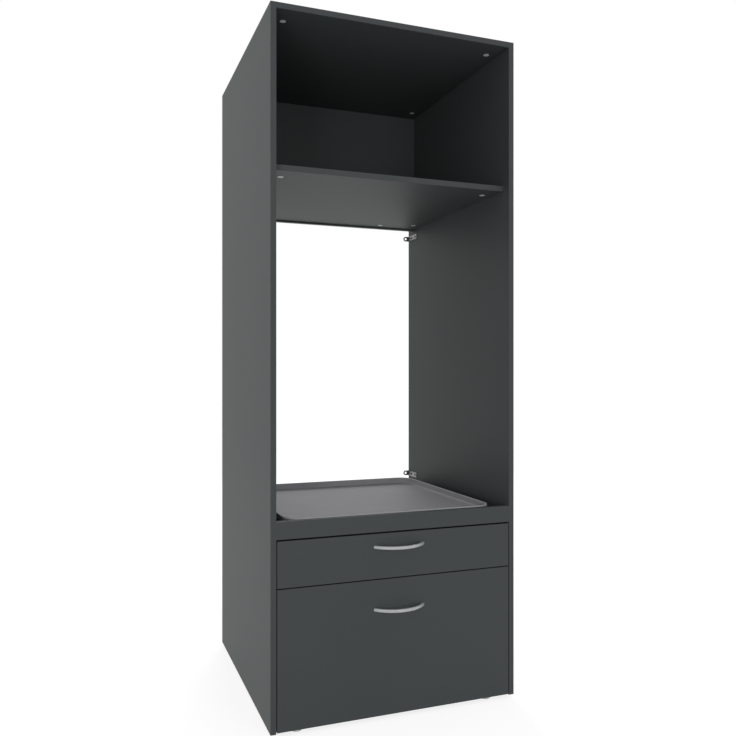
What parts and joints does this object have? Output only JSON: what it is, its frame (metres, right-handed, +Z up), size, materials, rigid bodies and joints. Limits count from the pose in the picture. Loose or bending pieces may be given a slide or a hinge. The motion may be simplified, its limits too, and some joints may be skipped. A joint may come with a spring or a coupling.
{
  "type": "washing machine cabinet",
  "caption": "Tall cabinet with an open compartment, a rear-open niche that lifts a washing machine over a drip tray, and drawers on ball-bearing runners below.",
  "frame": {"origin": "on the floor under the middle of the cabinet, its bow handles included", "axes": "+Z up, +X to the right of someone facing the cabinet, front faces -Y"},
  "size_m": [0.7, 0.7382, 1.85],
  "materials": {
    "decor_board": "melamine-faced chipboard in anthracite, fine matt pore",
    "edge_band": "glued plastic edge band in anthracite",
    "box_board": "melamine-faced chipboard in anthracite",
    "die_cast_zinc": "dull die-cast zinc",
    "zinc_plated_steel": "bright zinc-plated steel",
    "cap_plastic": "light grey moulded plastic",
    "beech": "fluted beech dowel",
    "glide_plastic": "light grey moulded plastic",
    "runner_steel": "cold-rolled, zinc-plated sheet steel",
    "ball_steel": "polished bearing steel",
    "cage_nylon": "white nylon",
    "bumper_rubber": "black rubber",
    "satin_silver": "satin silver lacquered die casting",
    "tray_plastic": "smooth mid-grey thermoformed plastic"
  },
  "bodies": {
    "cabinet": {"left_side_panel": "decor_board", "right_side_panel": "decor_board", "top_panel": "decor_board", "compartment_shelf": "decor_board", "compartment_back": "decor_board", "machine_shelf": "decor_board", "front_rail": "decor_board", "bottom_panel": "decor_board", "base_back": "decor_board", "cabinet_edge_bands": "edge_band", "cam_locks": "die_cast_zinc", "cam_bolts": "zinc_plated_steel", "cam_caps": "cap_plastic", "wooden_dowels": "beech", "wall_brackets": "zinc_plated_steel", "bracket_screws": "zinc_plated_steel", "floor_glides": "glide_plastic", "runner_cabinet_members": "runner_steel", "runner_cabinet_screws": "zinc_plated_steel", "runner_bumpers": "bumper_rubber"},
    "drip_tray": {"drip_tray": "tray_plastic"},
    "upper_drawer": {"upper_drawer_front": "decor_board", "upper_drawer_edge_band": "edge_band", "upper_drawer_left_side": "box_board", "upper_drawer_right_side": "box_board", "upper_drawer_back": "box_board", "upper_drawer_bottom": "box_board", "upper_drawer_cams": "die_cast_zinc", "upper_drawer_cam_bolts": "zinc_plated_steel", "upper_drawer_dowels": "beech", "upper_drawer_box_screws": "zinc_plated_steel", "upper_drawer_handle": "satin_silver", "upper_drawer_handle_screws": "zinc_plated_steel", "upper_runner_drawer_members": "runner_steel", "upper_runner_drawer_screws": "zinc_plated_steel"},
    "upper_runner_middle": {"upper_runner_middle_members": "runner_steel"},
    "upper_outer_cage": {"upper_outer_cages": "runner_steel", "upper_outer_balls": "ball_steel"},
    "upper_inner_cage": {"upper_inner_cages": "cage_nylon", "upper_inner_balls": "ball_steel"},
    "lower_drawer": {"lower_drawer_front": "decor_board", "lower_drawer_edge_band": "edge_band", "lower_drawer_left_side": "box_board", "lower_drawer_right_side": "box_board", "lower_drawer_back": "box_board", "lower_drawer_bottom": "box_board", "lower_drawer_cams": "die_cast_zinc", "lower_drawer_cam_bolts": "zinc_plated_steel", "lower_drawer_dowels": "beech", "lower_drawer_box_screws": "zinc_plated_steel", "lower_drawer_handle": "satin_silver", "lower_drawer_handle_screws": "zinc_plated_steel", "lower_runner_drawer_members": "runner_steel", "lower_runner_drawer_screws": "zinc_plated_steel"},
    "lower_runner_middle": {"lower_runner_middle_members": "runner_steel"},
    "lower_outer_cage": {"lower_outer_cages": "runner_steel", "lower_outer_balls": "ball_steel"},
    "lower_inner_cage": {"lower_inner_cages": "cage_nylon", "lower_inner_balls": "ball_steel"}
  },
  "joints": [
    {"name": "upper_drawer_slide", "type": "slide", "parent": "cabinet", "child": "upper_drawer", "axis": [0, -1, 0], "range_m": [0, 0.54]},
    {"name": "upper_runner_middle_slide", "type": "slide", "parent": "cabinet", "child": "upper_runner_middle", "axis": [0, -1, 0], "range_m": [0, 0.27]},
    {"name": "upper_outer_cage_slide", "type": "slide", "parent": "cabinet", "child": "upper_outer_cage", "axis": [0, -1, 0], "range_m": [0, 0.135]},
    {"name": "upper_inner_cage_slide", "type": "slide", "parent": "cabinet", "child": "upper_inner_cage", "axis": [0, -1, 0], "range_m": [0, 0.405]},
    {"name": "lower_drawer_slide", "type": "slide", "parent": "cabinet", "child": "lower_drawer", "axis": [0, -1, 0], "range_m": [0, 0.54]},
    {"name": "lower_runner_middle_slide", "type": "slide", "parent": "cabinet", "child": "lower_runner_middle", "axis": [0, -1, 0], "range_m": [0, 0.27]},
    {"name": "lower_outer_cage_slide", "type": "slide", "parent": "cabinet", "child": "lower_outer_cage", "axis": [0, -1, 0], "range_m": [0, 0.135]},
    {"name": "lower_inner_cage_slide", "type": "slide", "parent": "cabinet", "child": "lower_inner_cage", "axis": [0, -1, 0], "range_m": [0, 0.405]},
    {"name": "drip_tray_lift", "type": "slide", "parent": "cabinet", "child": "drip_tray", "axis": [0, 0, 1], "range_m": [0, 0.25]}
  ],
  "couplings": [
    {"joint": "upper_runner_middle_slide", "follows": "upper_drawer_slide", "ratio": 0.5},
    {"joint": "upper_outer_cage_slide", "follows": "upper_drawer_slide", "ratio": 0.25},
    {"joint": "upper_inner_cage_slide", "follows": "upper_drawer_slide", "ratio": 0.75},
    {"joint": "lower_runner_middle_slide", "follows": "lower_drawer_slide", "ratio": 0.5},
    {"joint": "lower_outer_cage_slide", "follows": "lower_drawer_slide", "ratio": 0.25},
    {"joint": "lower_inner_cage_slide", "follows": "lower_drawer_slide", "ratio": 0.75}
  ]
}
